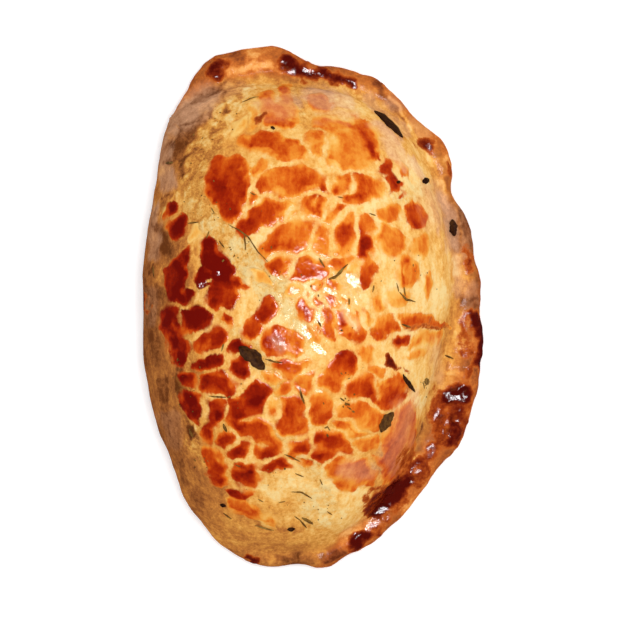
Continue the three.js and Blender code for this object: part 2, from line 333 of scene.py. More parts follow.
nearest = np.full(len(spots), FAR)  # distance outside the nearest plate's lobes, mm
second = nearest.copy()
brown = np.full(len(spots), 0.5)
for plate in PLATES:
    gap = np.full(len(spots), FAR)
    tone, weight = np.zeros(len(spots)), np.full(len(spots), 1e-9)
    for lobe in plate:
        share, reach = into_lobe(plan, lobe)
        gap = np.minimum(gap, (share - 1) * reach)
        pull = np.exp(-LOBE_BLENDING * np.minimum(share, 8))
        tone += lobe[5] * pull
        weight += pull
    wins = gap < nearest
    second = np.where(wins, nearest, np.minimum(second, gap))
    nearest = np.where(wins, gap, nearest)
    brown[wins] = (tone / weight)[wins]
seam = SEAM * (1 + 0.5 * ripples(spots, 3, 5))
glaze = np.minimum(GROWTH * (1 + 0.3 * ripples(spots, 5, 6)) - nearest, (second - nearest) / 2 - seam)
ragged = 1 + RAGGEDNESS * ripples(spots, 2.2, 7)
for half_width, points in TEARS:
    gap, along = from_line(plan, points)
    narrowing = np.minimum(1, TAPER * np.minimum(along + 0.04, 1.04 - along))
    glaze = np.minimum(glaze, gap - half_width * ragged * narrowing)
on_fold_side = ease(-spots[:, 0], *FOLD_SIDE)
line_y, line_x = np.array(sorted(BRUSH_LINE)).T
glaze = np.minimum(glaze, BRUSH_SLANT * (plan[:, 0] - np.interp(plan[:, 1], line_y, line_x)))
glaze = np.clip(glaze, -DEEPEST, DEEPEST)


# ---- The pinched rim ----
# The two layers of dough pressed together. It stands out into the oven's heat, so it browned all
# over, and egg and cheese that ran down onto it boiled into dark, shiny caramel.
# A run of caramel: how dark, half width, the points it runs through.
CARAMEL = [
    # The far end.
    (0.8, 1.6, [(-21.9, 53.8), (-20.9, 55.8)]), (1.0, 1.7, [(-5.9, 56.2), (-4, 55.3), (-2.7, 54)]),
    (0.9, 0.8, [(-3, 53.6), (0.6, 53.1)]), (0.8, 1.1, [(1.6, 53.6), (4.4, 52.8)]),
    (0.85, 1.3, [(4.4, 52.5), (7.4, 51.9), (10.2, 50.9)]),
    # Small runs down the right side.
    (0.75, 1.5, [(25, 38.2), (26.6, 36.8)]), (0.4, 1.2, [(30.6, 31.8), (31.4, 31)]),
    (0.36, 1.4, [(35.6, 14), (36.2, 9)]), (1.1, 1.4, [(38, -2.6), (38.4, -8), (38, -13)]),
    (0.3, 1.3, [(35.4, -3), (35, -9)]), (0.45, 1.0, [(33.6, -10.6), (35.4, -11)]),
    (0.4, 1.2, [(36.4, -14.6), (35.4, -16.6)]),
    # The dark pocket where the rim turns in.
    (1.3, 1.9, [(31.2, -20.8), (34.4, -20.2)]), (0.7, 3.0, [(33, -22), (33.4, -27)]),
    (0.9, 1.8, [(33.2, -27), (31.6, -30.6)]), (0.55, 2.4, [(29.4, -21), (29, -26), (29.6, -29)]),
    (0.6, 1.8, [(28.6, -31.6), (25, -35.6)]), (0.7, 1.2, [(24.6, -36), (22.4, -38.6)]),
    (0.4, 2.4, [(21.6, -34.4), (21, -38)]), (0.5, 1.4, [(25.8, -36.2), (24, -39.8)]),
    # The long run at the near right.
    (1.3, 2.1, [(21.4, -39.6), (18.4, -42.6), (15.4, -45.4)]), (1.1, 1.8, [(15, -44.4), (13.6, -47)]),
    (0.35, 1.4, [(20.4, -45), (17, -48.4), (13.4, -50.6)]), (1.2, 1.7, [(9.8, -54), (12.4, -52.8)]),
    # Specks.
    (0.8, 0.5, [(-15.4, -57.4), (-13, -58.8)]), (0.8, 0.8, [(-38.3, 1.6), (-38.2, -0.4)]),
    (0.9, 0.7, [(17.2, -12.6), (18.8, -13.6)]), (0.3, 0.7, [(19, -13.8), (20.8, -15.4)]),
    (0.6, 0.8, [(-12.9, 42.9), (-12, 42.8)]), (0.3, 0.7, [(21.6, -4.6), (27, -5)]),
    (0.4, 0.7, [(27.4, -4.2), (30.2, -4.6)]),
]
GROOVE_TOP = 8.4  # the groove between body and rim lies lower than this, mm
OUTSIDE = 75  # past the rim all round, mm
RIGHT, FAR_END, NEAR_LEFT, NEAR_END = 10, 98, 245, 265  # directions from the middle, degrees
CORNER, CORNER_SIZE = (-24, -51.5), 5  # where the rim starts at the near left, mm
angle = np.degrees(np.arctan2(spots[:, 1], spots[:, 0])) % 360
radius = np.hypot(spots[:, 0], spots[:, 1])
groove_low = (spots[:, 2] < GROOVE_TOP) & (facing[:, 2] > 0.15)
around = np.arange(0, 360, 3)
groove = []
for degrees in around:
    near = groove_low & (np.abs((angle - degrees + 180) % 360 - 180) < 2.5)
    groove.append(radius[near].min() if near.any() else OUTSIDE)
onto_rim = radius - np.interp(angle, around, groove, period=360)
to_the_right = np.clip(np.cos(np.radians(angle - RIGHT)), 0, 1)
to_the_near_end = np.cos(np.radians(angle - NEAR_END))
well_closed = ease(np.maximum(to_the_right, to_the_near_end), 0.2, 0.7)  # where the seam hardly shows
from_corner = np.hypot(spots[:, 0] - CORNER[0], spots[:, 1] - CORNER[1])
near_corner = np.exp(-(from_corner / CORNER_SIZE) ** 2)
softness = well_closed * np.exp(-((onto_rim + 0.3) / 2.6) ** 2) * ease(facing[:, 2], 0.1, 0.4)
softness = np.maximum(near_corner, softness * (spots[:, 2] < 13))
closed = loaf.vertex_groups.new(name="closed")
for spot in np.flatnonzero(softness > 0.05):
    closed.add([int(spot)], softness[spot], "REPLACE")
finish_with(loaf, "SMOOTH", factor=0.5, iterations=60, vertex_group="closed")
loaf.vertex_groups.clear()
spots, facing = places(loaf), facings(loaf)
fold_is_rim = np.exp(-((angle - NEAR_LEFT) / 27) ** 6)  # near left the fold and the rim are one
at_the_far_end = np.exp(-((angle - FAR_END) / 24) ** 4)  # the browning starts further out there
inner_edge = 0.5 * ripples(spots, 3, 21) - 9 * fold_is_rim - 3 * to_the_right - 1.4 * at_the_far_end
rim = ease(onto_rim + inner_edge, -0.8, 1.2 + 3.5 * to_the_right)

stroke_plan = wavering(plan, (0.5, 2.6), (0.25, 1.1), 61)


def painted(strokes, soft=1.0):
    """The strongest of the strokes at each spot. Soft is the share of a half width that fades."""
    strongest = np.zeros(len(spots))
    for amount, half_width, points in strokes:
        gap, _ = from_line(stroke_plan, points)
        fade = max(0.6, soft * half_width)
        strongest = np.maximum(strongest, amount * ease(half_width + 0.4 * fade - gap, 0, fade))
    return strongest


caramel = painted(CARAMEL, 1.5) * ease(facing[:, 2], -0.3, 0.1)


# ---- How far each part baked, with painted light and shade ----
# Bare dough is cream where it tore last, gold where it tore early, and tan to brown down the folded
# side, which lay against the hot tray. Part of this is painted light and shade: the right shoulder is
# kept paler where light from the right falls on its slope, and the folded side darker where it turns
# away from the light. x, y, reach, brownness of what the glaze doesn't cover.
BAKED_LIGHT_AND_SHADE = [
    # The left shoulder, crumbly and unevenly browned.
    (-30, 45, 5, 0.56), (-25, 50, 4, 0.54), (-18, 50, 4, 0.56), (-30, 38, 4, 0.72), (-26, 43, 4, 0.54),
    (-20, 43, 5, 0.48), (-15, 47, 4, 0.34), (-33, 33, 5, 0.66), (-28, 34, 4, 0.58), (-24, 37, 4, 0.42),
    (-28, 25, 5, 0.45), (-35, 24, 5, 0.7), (-30, 22, 4, 0.42), (-24, 19, 6, 0.3), (-15, 12, 7, 0.16),
    (-34, 12, 5, 0.76), (-6, 1, 8, 0.08),
    # The crown and the far end.
    (0, 47, 5, 0.44), (9, 48, 4, 0.2), (13, 46, 4, 0.26), (16, 45, 3, 0.3), (11, 47, 3, 0.1),
    (0, 32, 8, 0.2), (8, 24, 8, 0.12), (0, 15, 9, 0.2), (-8, -20, 8, 0.24), (5, -20, 9, 0.26),
    # The right shoulder, kept pale partly as painted light on its lit slope.
    (19, 42, 3, 0.26), (18, 36, 4, 0.4), (23, 33, 5, 0.08), (22, 28, 4, 0.08), (28, 26, 4, 0.26),
    (26, 18, 4, 0.26), (29, 12, 4, 0.22), (28, 4, 5, 0.06), (22, -6, 5, 0.1), (28, -11, 4, 0.38),
    (23, -14, 5, 0.12), (28, -18, 4, 0.32), (24, -36, 6, 0.5),
    # The near end.
    (-9, -43, 5, 0.22), (1, -42, 5, 0.12), (3, -48, 6, 0.18), (9, -49, 4, 0.16), (-10, -47, 4, 0.38),
    (-5, -51, 5, 0.5), (-13, -51, 4, 0.5), (-20, -51, 5, 0.56), (-12, -55, 4, 0.5), (1, -54, 5, 0.44),
    # Down the folded side, darker partly as painted shade.
    (-36, 4, 5, 0.86), (-37, -8, 5, 0.86), (-30, -13, 4, 0.66), (-34, -22, 5, 0.78), (-31, -31, 5, 0.9),
    (-28, -39, 5, 0.66), (-25, -45, 4, 0.7), (-24, -5, 7, 0.3), (-20, -28, 8, 0.28), (-25, -31, 4, 0.6),
    # Round the rim.
    (-26, 53, 4, 0.7), (-18, 58, 3, 0.62), (-13, 56, 4, 0.34), (-9, 59, 3, 0.6), (3, 55, 4, 0.62),
    (14, 52, 4, 0.66), (20, 46, 4, 0.58), (23, 42, 3, 0.46), (28, 35, 4, 0.52), (31, 29, 4, 0.62),
    (35, 20, 4, 0.74), (36, 13, 4, 0.68), (32, 9, 3, 0.34), (35, 5, 3, 0.74), (37, 0, 3, 0.8),
    (34, -5, 4, 0.46), (30, -15, 3, 0.38), (36, -15, 3, 0.7), (28, -30, 5, 0.66), (22, -45, 4, 0.52),
    (16, -52, 4, 0.62), (6, -58, 4, 0.76), (-4, -58.6, 3, 0.84), (-14, -58, 3, 0.8),
]
# Scorch marks and darker streaks of bare dough, and painted shade in the crease under the rim and beside
# the ridge at the near right: how dark, half width, the points they run through.
SCORCHES_AND_CREASE_SHADE = [
    # The left shoulder.
    (0.55, 2.0, [(-31.6, 35.6), (-29.6, 38), (-27.6, 39.8)]), (0.5, 0.6, [(-29.5, 41.8), (-25, 43)]),
    (0.5, 0.5, [(-34, 33), (-31.5, 33.6), (-28, 35)]), (0.5, 0.8, [(-30, 31), (-28.6, 34)]),
    (0.35, 0.7, [(-25.8, 42.6), (-24, 40.6), (-23.8, 39)]), (0.5, 0.6, [(-23.4, 45.6), (-21.6, 42.8)]),
    (0.5, 0.6, [(-21, 49.4), (-19.4, 46.6), (-19.2, 44.6)]), (0.5, 0.5, [(-17, 49), (-16.4, 46.6)]),
    (0.5, 0.4, [(-35, 25.6), (-32, 25.4)]), (0.4, 0.5, [(-36, 22), (-34.8, 21.8)]),
    (0.5, 1.3, [(-35, 18), (-33.4, 13.5)]), (0.5, 0.9, [(-33.6, 24), (-33, 21.6)]),
    # Down the folded side.
    (0.5, 0.5, [(-37, 9.3), (-36.8, 7.2)]), (0.7, 1.1, [(-31.4, -12.8), (-30, -15)]),
    (0.4, 0.8, [(-35, -17), (-34.2, -21)]), (0.5, 1.0, [(-30.4, -17), (-29.8, -20)]),
    (0.8, 0.6, [(-28.8, -27.6), (-28, -29), (-27.2, -30)]), (0.4, 1.2, [(-31, -36), (-29, -40)]),
    (0.25, 1.2, [(-27.5, -42.5), (-25, -46)]), (0.3, 1.0, [(-13, -50), (-6, -50.8)]),
    # Painted shade in the crease under the rim at the far end and beside the ridge at the near right, and
    # the rim's own browner ridges.
    (0.5, 0.6, [(-24, 49.7), (-20, 51.6)]), (0.3, 0.5, [(-19, 51.8), (-8, 52.8), (-4, 52.4)]),
    (0.5, 0.8, [(-11, 53.6), (-6, 53.2)]), (0.4, 0.9, [(-27.5, 47), (-24, 49.3)]),
    (0.15, 0.6, [(12, 49), (16, 45)]), (0.4, 0.5, [(17, 48.5), (20.5, 43)]),
    (0.5, 1.0, [(14.2, 51.4), (16, 49.6)]), (0.35, 1.2, [(-18.6, 58.4), (-16, 57)]),
    (0.4, 1.0, [(34, 23), (36.4, 17), (36.8, 11)]), (0.4, 0.9, [(31, 30), (31.6, 26)]),
    (0.35, 1.0, [(34.6, 1.6), (37, 1)]), (0.45, 0.8, [(26, -26), (24.8, -32)]),
    (0.6, 0.5, [(24, -27), (23.8, -31.4), (22, -36.4)]), (0.4, 0.9, [(26.4, 37), (28.4, 35.2)]),
    (0.4, 0.8, [(34.4, -3.6), (36, -6)]), (0.5, 1.2, [(3, -57.6), (7, -56)]),
    (0.4, 0.8, [(-8, -57.6), (-3, -57.6)]),
]
# Paler, golden strokes over the browned dough.
PALE = [
    (0.7, 1.3, [(-18.6, 54), (-14, 54.8), (-10, 55)]), (0.4, 0.9, [(-14.6, 57.4), (-12.6, 57.6)]),
    (0.5, 0.8, [(-28, 36), (-24.4, 41), (-21, 45)]),
    (0.5, 0.8, [(-25.4, 39.6), (-21.6, 44.6), (-18.4, 47.6)]),
    (0.5, 0.8, [(-20.6, 40), (-17.6, 45.6), (-14, 50.6)]), (0.4, 0.7, [(-31.4, 24), (-28.4, 29)]),
    (0.5, 0.6, [(16.4, 50.4), (19.6, 46), (22.4, 41)]), (0.5, 0.8, [(26.4, 34.6), (27.4, 33)]),
    (0.6, 1.0, [(30.4, 33.6), (31.4, 32.4)]), (0.5, 0.8, [(29.4, 28.6), (31, 26.6)]),
    (0.5, 1.0, [(33, 11), (33, 7)]), (0.3, 0.9, [(35, 6), (35.4, 2)]), (0.4, 1.0, [(33, -6), (34, -9)]),
    (0.4, 0.8, [(32.2, -15), (34, -15.6)]),
    (0.6, 0.8, [(24.8, -21), (25.6, -27), (25, -33), (23, -37.4)]),
    (0.5, 0.9, [(20.8, -46.4), (24.4, -43.2)]), (0.3, 0.6, [(-33.6, 9), (-34.6, 5)]),
    (0.3, 1.0, [(0, -44), (3, -50)]), (0.3, 1.2, [(-12.4, -41), (-9, -44)]),
    (0.45, 0.6, [(-28.4, -25.4), (-27.4, -29.6), (-26.4, -32.4)]),
    (0.4, 0.5, [(-32, -10), (-29.6, -17)]),
]
# Painted sheen: where the glaze's reflection lays a pale mauve veil, painted into the colour: how strong,
# half width, points.
PAINTED_SHEENS = [
    (1.0, 3.6, [(-31.6, 42), (-28, 45.4), (-24.4, 48)]), (0.4, 1.8, [(-22, 48.8), (-16, 50.4)]),
    (0.9, 1.8, [(-33.6, 38), (-34, 33), (-33.6, 28)]),
    (0.8, 1.6, [(-36, 23), (-36.6, 17), (-36.6, 12)]), (0.55, 2.8, [(-10.6, 45.4), (-5, 47.4)]),
    (0.4, 1.6, [(2, 43.8), (9, 44.2)]), (0.3, 1.2, [(23.6, 43), (26, 40)]),
    (0.9, 2.6, [(0, 49), (3, 47.6)]), (0.6, 1.6, [(4, 49), (8, 47.4)]),
    (0.8, 1.8, [(15.4, 41), (18.4, 37), (20.4, 33)]), (0.5, 1.0, [(12, 48.6), (17, 44.6), (21, 40)]),
    (0.6, 1.2, [(22.4, 34), (25, 30)]), (0.5, 1.6, [(17.4, 48), (20, 46)]),
    (0.4, 3.0, [(27, 27), (28, 20)]), (0.8, 2.0, [(29, 25), (31.4, 21), (32, 14)]),
    (0.6, 1.6, [(34, 24.5), (36.2, 18), (35.4, 12)]), (0.5, 1.4, [(33, 11), (33, 3)]),
    (0.6, 1.6, [(35.8, 4.4), (37, 0)]), (0.4, 1.8, [(28, -9), (29, -16)]),
    (0.6, 3.0, [(21.4, -23.6), (20, -29), (18.4, -35)]), (0.5, 2.4, [(8, -37), (13, -38)]),
    (0.5, 1.8, [(23, -21), (22.4, -31)]), (0.6, 0.9, [(6.8, 0.2), (9.6, -4.6)]),
    (0.4, 1.2, [(-8.4, -7.6), (-6.4, -9.4)]), (0.4, 1.6, [(-37, 3), (-37, -3)]),
    (0.3, 2.0, [(-33, -26), (-31.6, -31)]), (0.3, 1.6, [(27, -31), (29, -29)]),
]
# Where the bare dough tore open last, and stayed rough and crumbly: how rough, half width, points.
CRUMBLY = [
    (0.5, 2.8, [(-15, 49), (-20, 44), (-23, 40)]),
    (1.0, 3.6, [(-24.4, 37), (-27.6, 30), (-27, 22), (-22, 18), (-15, 11), (-8, 3)]),
    (0.7, 2.6, [(-6, 0), (-1, -6)]),
    (0.8, 1.6, [(-29.6, 0), (-27.6, -12), (-29, -18), (-28, -30), (-25, -34)]),
    (0.6, 2.0, [(-18, -6), (-11, -12), (-8, -19)]),
    (0.6, 1.6, [(-8, -28), (-5, -30), (0, -38), (5, -46)]), (0.5, 4.0, [(-1, -45), (1, -48)]),
    (0.5, 2.0, [(20, 24), (26, 28)]), (0.5, 1.2, [(-3.6, 50), (-3, 43)]),
]
LOW_SIDE_BROWN_AND_SHADE = 0.85  # how brown the low sides get: the hot tray's browning, and painted shade where they turn away from the light
STROKE_DEPTH = 0.5  # how much a full stroke changes the brownness, for scorches, painted crease shade and golden strokes alike
pull = np.full(len(spots), 1e-6)
bake_and_shade = pull * 0.5
for x, y, reach, amount in BAKED_LIGHT_AND_SHADE:
    near = np.exp(-((plan[:, 0] - x) ** 2 + (plan[:, 1] - y) ** 2) / (2 * (0.7 * reach) ** 2))
    bake_and_shade += amount * near
    pull += near
bake_and_shade /= pull
streaks = ripples(np.stack([onto_rim, np.radians(angle) * 9, spots[:, 2] * 0.6], 1), 2.2, 36)
# The low sides are browner, except on the right and at the ends: partly the hot tray's browning, partly
# painted shade on the sides that turn away from the light.
low_down_and_shaded = (1 - ease(spots[:, 2], 3, 16)) * (1 - 0.8 * well_closed) * (1 - at_the_far_end)
bake_and_shade += (LOW_SIDE_BROWN_AND_SHADE - bake_and_shade) * low_down_and_shaded * (1 - rim)
bake_and_shade += 0.04 * streaks + STROKE_DEPTH * painted(SCORCHES_AND_CREASE_SHADE) - STROKE_DEPTH * painted(PALE)
bake_and_shade = np.clip(bake_and_shade, 0, 1.2)
# Painted sheen, a little stronger along the streaks.
painted_sheen = np.clip(painted(PAINTED_SHEENS) * (1 + 0.25 * streaks), 0, 1)
crumbly = painted(CRUMBLY) * (1 - rim)
under = ease(-facing[:, 2], 0.3, 0.9)


# ---- The relief of the skin ----
# Swells under the whole skin, plates that stand a little proud of their tears, crumbly dough in the
# widest tears, folds down the tucked side, and puckers round the rim. Heights and depths are in mm.
SWELLS, DIMPLES = 0.18, 0.03
PLATE_THICKNESS = 0.16
FINE_CRUMB, COARSE_CRUMB, LUMP_SIZE = 0.04, 0.08, 1.7
RIM_SWELLS, RIM_BUMPS, RIM_PUCKERS = 0.16, 0.08, 0.12
FOLD_WRINKLES = 0.12
CREASE_DEPTH, CREASE_TOP = 0.4, 12
CARAMEL_THICKNESS, CARAMEL_BUBBLES = 0.3, 0.1
POOL_DEPTH = 0.5
# Where egg and melted cheese lay level, and shine: half width, the points they run through.
POOLS = [
    # The crown.
    (1.7, [(8.2, 7.4), (9.8, 5.8), (11.2, 4.4)]), (0.5, [(6, 6.8), (8, 4.2)]),
    (0.4, [(11, 3.2), (12.4, 1.6)]), (1.1, [(2.9, 3.8), (5, 3), (6.6, 1.6)]),
    (0.4, [(3.8, 2.4), (5.6, 0.4)]), (0.6, [(6.2, 2.4), (8.2, -0.2)]), (0.7, [(8.8, 3.2), (10.4, 0.8)]),
    (0.4, [(7.4, 3), (9.4, 0.4)]), (0.5, [(2.4, 1.6), (2.6, 0.2)]), (0.8, [(0.4, -1), (1.2, -3)]),
    (0.4, [(1.6, -3.4), (2.4, -5.6)]), (1.1, [(-2, -5.4), (-0.8, -7.4)]),
    (1.3, [(0.4, -8.8), (2.4, -10.4)]), (1.0, [(-8.2, 6.4), (-6.2, 6.2)]),
    (0.7, [(13.2, -1.4), (13.6, -3.4)]), (0.5, [(13.6, -5), (14, -6.6)]), (0.6, [(14, 12.4), (15, 10)]),
    (0.5, [(-12.8, -1.2), (-11.8, -3)]), (0.7, [(-3.4, -17.2), (-2, -20)]), (0.6, [(5, 8), (6.4, 7)]),
    # The dark plates.
    (0.6, [(-22, 7.4), (-21.4, 7)]), (0.7, [(-25.6, 5.4), (-24.6, 5)]),
    (0.6, [(-27.4, 4.8), (-26.6, 4.6)]),
    # The caramel.
    (1.1, [(-1.8, 54), (-0.4, 53.6)]), (1.5, [(16.4, -46.6), (14.2, -48.2)]),
    (1.1, [(14, -49), (12, -50.6)]), (0.7, [(17.4, -48), (16, -49)]),
    (0.6, [(17.4, -41.8), (17.9, -42.2)]), (0.5, [(22.4, -39), (22.9, -39.6)]),
    (1.0, [(31.6, -21.6), (33.4, -21)]), (0.7, [(34, -20.4), (34.8, -20)]),
    (0.9, [(33, -25.6), (34.2, -26.4)]), (0.6, [(36, -10.4), (36.2, -11.4)]),
    (0.5, [(35.4, -13.6), (35.6, -14.4)]), (0.5, [(31, -28.2), (31.2, -29)]),
    (0.5, [(33.4, -17), (33.8, -17.8)]), (0.5, [(31.8, -6), (32.4, -7)]),
]


def move_to(piece, spots):
    """Puts a piece's vertices there, in millimetres from the middle of the loaf's underside."""
    piece.data.vertices.foreach_set("co", (spots * MM + loaf_middle).ravel())
    piece.data.update()


def billows(spots, size, seed):
    """Round lumps of about that size with sharp valleys between them, mostly from -1 to 1."""
    return 2 * np.abs(ripples(spots, size, seed)) - 1


bare = 1 - ease(glaze, -0.2, 0.2)
along_the_outline = np.stack([radius, np.radians(angle) * 20, spots[:, 2] * 0.6], 1)
lumps = billows(along_the_outline, LUMP_SIZE, 33) + 0.5 * billows(spots, 1.3, 38)
crease = np.exp(-(onto_rim / 0.6) ** 2) * (spots[:, 2] < CREASE_TOP)
crease = crease * (1 - well_closed) * (1 - fold_is_rim)
lift = SWELLS * ripples(spots, 6, 31) + DIMPLES * ripples(spots, 2.2, 32)
lift += PLATE_THICKNESS * ease(glaze, -0.3, 0.5) + bare * lumps * (FINE_CRUMB + COARSE_CRUMB * crumbly)
rim_lift = RIM_SWELLS * ripples(spots, 4, 34) + RIM_BUMPS * ripples(spots, 1.5, 35)
rim_lift += RIM_PUCKERS * streaks
lift += rim * rim_lift
lift += FOLD_WRINKLES * streaks * (on_fold_side + 0.6 * ease(onto_rim, -12, -4)) * bare
lift -= CREASE_DEPTH * crease
lift += caramel * (CARAMEL_THICKNESS + CARAMEL_BUBBLES * billows(spots, 3.0, 37))
wet = np.zeros(len(spots))
for half_width, points in POOLS:
    gap, _ = from_line(stroke_plan, points)
    pool = ease(half_width + 0.3 - gap, 0, 0.8) * (facing[:, 2] > 0.1)
    level = np.average(spots[:, 2], weights=pool + 1e-12)
    lift += pool * (np.clip(level - spots[:, 2], -POOL_DEPTH, POOL_DEPTH) - lift)
    wet = np.maximum(wet, pool)
lift *= (1 - under) * ease(spots[:, 2], 0.2, 2.0)
move_to(loaf, spots + facing * lift[:, None])

for name, values in {
    "glaze": glaze,
    "brown": np.clip(brown + 0.08 * ripples(spots, 5.5, 41) + 0.05 * ripples(spots, 2.2, 42), 0, 1),
    "bake_and_shade": bake_and_shade + 0.04 * ripples(spots, 3, 43),
    "rim": rim,
    "caramel": caramel,
    "painted_sheen": painted_sheen,
    "crumbly": crumbly,
    "lumps": 0.5 + 0.25 * lumps,
    "wet": wet,
    "under": under,
}.items():
    attribute = loaf.data.attributes.new(name, "FLOAT", "POINT")
    attribute.data.foreach_set("value", values.astype(np.float32))
take_up(loaf)
bpy.ops.object.shade_smooth()


# ---- The finish of the crust ----
# One skin of dough, egg and caramel. Its colours follow how far each spot baked, and its shine
# follows where the egg and the fat dried on it.
LAMPLIGHT = 0.84  # the share of a colour's brightness that a surface needs under these lamps


def tint(red, green, blue):
    """A colour as it looks on the table under the lamps, 0 to 255, as the renderer wants it."""
    linear = [((c / 255 + 0.055) / 1.055) ** 2.4 if c > 10 else c / 3295 for c in (red, green, blue)]
    return [LAMPLIGHT * level for level in linear] + [1]


class Finish:
    """A piece's material, and short ways to add and join its nodes."""

    def __init__(self, name):
        self.material = bpy.data.materials.new(name)
        self.material.use_nodes = True
        self.tree = self.material.node_tree
        self.shader = self.tree.nodes["Principled BSDF"]

    def node(self, kind, settings=None, **inputs):
        """A new node of that kind, with its settings, and its inputs fed by name."""
        made = self.tree.nodes.new(kind)
        for name, value in (settings or {}).items():
            setattr(made, name, value)
        for name, value in inputs.items():
            self.feed(made.inputs[name.replace("_", " ")], value)
        return made

    def feed(self, socket, value):
        """Gives a socket a number or a colour, or joins it to another node's output."""
        if isinstance(value, bpy.types.NodeSocket):
            self.tree.links.new(value, socket)
        else:
            socket.default_value = value

    def read(self, name):
        """A value that the skin's mesh carries."""
        return self.node("ShaderNodeAttribute", {"attribute_name": name}).outputs["Fac"]

    def sum(self, operation, first, second=0.0, third=0.0):
        """What a Math node makes of up to three values."""
        made = self.node("ShaderNodeMath", {"operation": operation})
        for socket, value in zip(made.inputs, (first, second, third)):
            self.feed(socket, value)
        return made.outputs[0]

    def rise(self, value, start, end, low=0.0, high=1.0):
        """A smooth change from low to high while the value goes from start to end."""
        made = self.node("ShaderNodeMapRange", {"interpolation_type": "SMOOTHSTEP"})
        for socket, number in zip(made.inputs, (value, start, end, low, high)):
            self.feed(socket, number)
        return made.outputs[0]

    def grain(self, size, detail=2.0, roughness=0.5):
        """Noise with grains of about that size in mm."""
        made = self.node("ShaderNodeTexNoise", Scale=1 / (size * MM), Detail=detail, Roughness=roughness)
        self.feed(made.inputs["Vector"], self.place)
        return made.outputs["Fac"]

    def ramp(self, value, stops):
        """A colour for each value, between stops that are value, red, green and blue."""
        made = self.node("ShaderNodeValToRGB", Fac=value)
        points = made.color_ramp.elements
        while len(points) < len(stops):
            points.new(0.5)
        for point, (at, *colour) in zip(points, stops):
            point.position, point.color = at, tint(*colour)
        return made.outputs["Color"]

    def mix(self, share, first, second):
        """The second colour over the first, as strong as its share."""
        made = self.node("ShaderNodeMix", {"data_type": "RGBA"})
        self.feed(made.inputs[0], share)
        self.feed(made.inputs[6], first)
        self.feed(made.inputs[7], second)
        return made.outputs[2]


crust = Finish("crust")
crust.place = crust.node("ShaderNodeTexCoord").outputs["Object"]
wander = crust.node("ShaderNodeTexNoise", Vector=crust.place, Scale=1 / (2.5 * MM), Detail=3)
wander = wander.outputs["Color"]
drift = crust.node("ShaderNodeVectorMath", {"operation": "SCALE"}, Vector=wander, Scale=1.6 * MM)
bent = crust.node("ShaderNodeVectorMath", {"operation": "ADD"})
crust.feed(bent.inputs[0], crust.place)
crust.feed(bent.inputs[1], drift.outputs[0])


def swing(size, amount):
    """Noise about zero that changes over that many mm and seldom leaves plus or minus the amount."""
    return crust.sum("MULTIPLY_ADD", crust.grain(size, 3.0, 0.6), 4 * amount, -2 * amount)


def total(*values):
    """The values added up."""
    found = values[0]
    for value in values[1:]:
        found = crust.sum("ADD", found, value)
    return found


def times(*values):
    """The values multiplied together."""
    found = values[0]
    for value in values[1:]:
        found = crust.sum("MULTIPLY", found, value)
    return found


# Streaks of the brush and the stretch of the dough run along the roll.
stretch = crust.node("ShaderNodeMapping", Vector=bent.outputs[0])
stretch.inputs["Scale"].default_value = (1.0, 0.3, 0.7)
stretch.inputs["Rotation"].default_value = (0, 0, math.radians(-6))
combed = crust.node("ShaderNodeTexNoise", Scale=1 / (1.3 * MM), Detail=4, Roughness=0.6)
crust.feed(combed.inputs["Vector"], stretch.outputs[0])
combed = crust.sum("SUBTRACT", combed.outputs["Fac"], 0.5)

# The torn edge of the glaze is ragged, and frays a little along the streaks.
glaze_edge = total(crust.read("glaze"), swing(1.7, 0.15), swing(0.6, 0.12), times(combed, 0.8))
crispness = crust.rise(crust.grain(3.5, 1), 0.34, 0.6, 0.5, 1.5)  # some edges tore clean, some thin out
glazed = crust.rise(times(glaze_edge, crispness), -0.32, 0.34)
rim_share = crust.read("rim")
rough_share = crust.read("crumbly")

# The glaze: smooth where it went dark, streaky where it stayed gold, and paler at its torn edges.
egg_streaks = times(combed, crust.rise(crust.read("brown"), 0.55, 0.85, 0.5, 0.14))
torn_edge = crust.rise(times(glaze_edge, crispness), -0.3, 1.8, 1.0, 0.0)
torn_edge = times(torn_edge, crust.rise(crust.grain(4.5, 1), 0.35, 0.65, -0.4, -0.1))
browned = total(crust.read("brown"), 0.08, egg_streaks, torn_edge, swing(3, 0.08), swing(0.8, 0.04))
glaze_colour = crust.ramp(browned, [
    (0.0, 250, 200, 112), (0.2, 246, 174, 76), (0.4, 238, 142, 46),
    (0.55, 224, 106, 26), (0.7, 198, 68, 10), (0.85, 160, 34, 4), (1.0, 114, 11, 3),
])

# The dough, with painted shade in the pits of its crumb and between its lumps, so it is lighter on top of
# them.
crumb = crust.grain(0.9, 5, 0.75)
pit_shade = times(crust.sum("SUBTRACT", 0.5, crumb), crust.rise(rough_share, 0, 1, 0.6, 1.2))
valley_shade = times(crust.sum("SUBTRACT", 0.5, crust.read("lumps")), rough_share, 0.4)
wrinkles = times(combed, crust.rise(crust.read("bake_and_shade"), 0.3, 0.8, 0.7, 0.4))
clouds = (swing(2.4, 0.08), swing(1.1, 0.06), swing(0.5, 0.06))
dough_tone = total(crust.read("bake_and_shade"), pit_shade, valley_shade, wrinkles, *clouds)
dough_colour = crust.ramp(dough_tone, [
    (0.0, 255, 220, 150), (0.2, 253, 198, 112), (0.4, 237, 166, 76),
    (0.58, 208, 132, 60), (0.76, 170, 100, 48), (0.9, 138, 78, 37), (1.0, 112, 58, 24),
])
